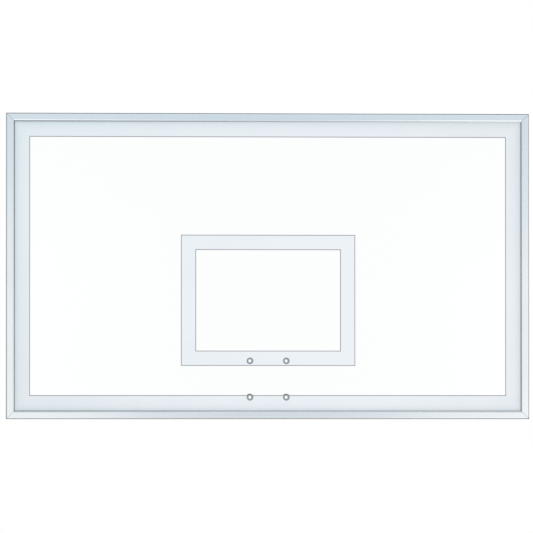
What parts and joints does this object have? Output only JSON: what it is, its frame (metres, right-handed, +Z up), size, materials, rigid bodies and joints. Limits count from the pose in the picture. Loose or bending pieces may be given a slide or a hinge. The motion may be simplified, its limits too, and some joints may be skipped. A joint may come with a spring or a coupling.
{
  "type": "basketball backboard",
  "caption": "Rectangular clear-glass basketball backboard in a mitred aluminium frame, with white border and target stripes, goal bolt holes and rear support brackets.",
  "frame": {"origin": "centre of the four support holes, on the rear faces of the mounting brackets' pads", "axes": "+X to the right seen from the front, +Y out of the back towards the support, +Z up; the playing face looks along -Y"},
  "size_m": [1.8288, 0.0762, 1.0668],
  "materials": {
    "glass_clear": "clear tempered float glass with polished arrises",
    "enamel_white": "opaque white fired enamel with a thin grey key line along its edges",
    "rail_aluminium": "clear anodised, satin, drawn lengthwise",
    "gasket_rubber": "extruded, smooth, matt",
    "block_rubber": "moulded, hard, matt",
    "key_aluminium": "as cast, fine grain",
    "bracket_steel": "bright zinc plate on bent plate",
    "plate_steel": "plain drawn bar",
    "fastener_steel": "bright zinc plate",
    "bushing_nylon": "moulded grey nylon"
  },
  "bodies": {
    "root": {"glass_panel": "glass_clear", "border_stripe": "enamel_white", "target_stripe": "enamel_white", "bottom_rail": "rail_aluminium", "bottom_gasket": "gasket_rubber", "right_rail": "rail_aluminium", "right_gasket": "gasket_rubber", "top_rail": "rail_aluminium", "top_gasket": "gasket_rubber", "left_rail": "rail_aluminium", "left_gasket": "gasket_rubber", "setting_blocks": "block_rubber", "edge_blocks": "block_rubber", "corner_key_bottom_left": "key_aluminium", "corner_key_screws_bottom_left": "fastener_steel", "corner_key_bottom_right": "key_aluminium", "corner_key_screws_bottom_right": "fastener_steel", "corner_key_top_right": "key_aluminium", "corner_key_screws_top_right": "fastener_steel", "corner_key_top_left": "key_aluminium", "corner_key_screws_top_left": "fastener_steel", "goal_bushing_upper_left": "bushing_nylon", "bushing_retainer_upper_left": "bushing_nylon", "goal_bushing_upper_right": "bushing_nylon", "bushing_retainer_upper_right": "bushing_nylon", "goal_bushing_lower_left": "bushing_nylon", "bushing_retainer_lower_left": "bushing_nylon", "goal_bushing_lower_right": "bushing_nylon", "bushing_retainer_lower_right": "bushing_nylon", "mount_bracket_upper_left": "bracket_steel", "tapped_plate_upper_left": "plate_steel", "bracket_bolts_upper_left": "fastener_steel", "bracket_washers_upper_left": "fastener_steel", "bracket_spring_washers_upper_left": "fastener_steel", "mount_bracket_upper_right": "bracket_steel", "tapped_plate_upper_right": "plate_steel", "bracket_bolts_upper_right": "fastener_steel", "bracket_washers_upper_right": "fastener_steel", "bracket_spring_washers_upper_right": "fastener_steel", "mount_bracket_lower_left": "bracket_steel", "tapped_plate_lower_left": "plate_steel", "bracket_bolts_lower_left": "fastener_steel", "bracket_washers_lower_left": "fastener_steel", "bracket_spring_washers_lower_left": "fastener_steel", "mount_bracket_lower_right": "bracket_steel", "tapped_plate_lower_right": "plate_steel", "bracket_bolts_lower_right": "fastener_steel", "bracket_washers_lower_right": "fastener_steel", "bracket_spring_washers_lower_right": "fastener_steel"}
  },
  "joints": []
}
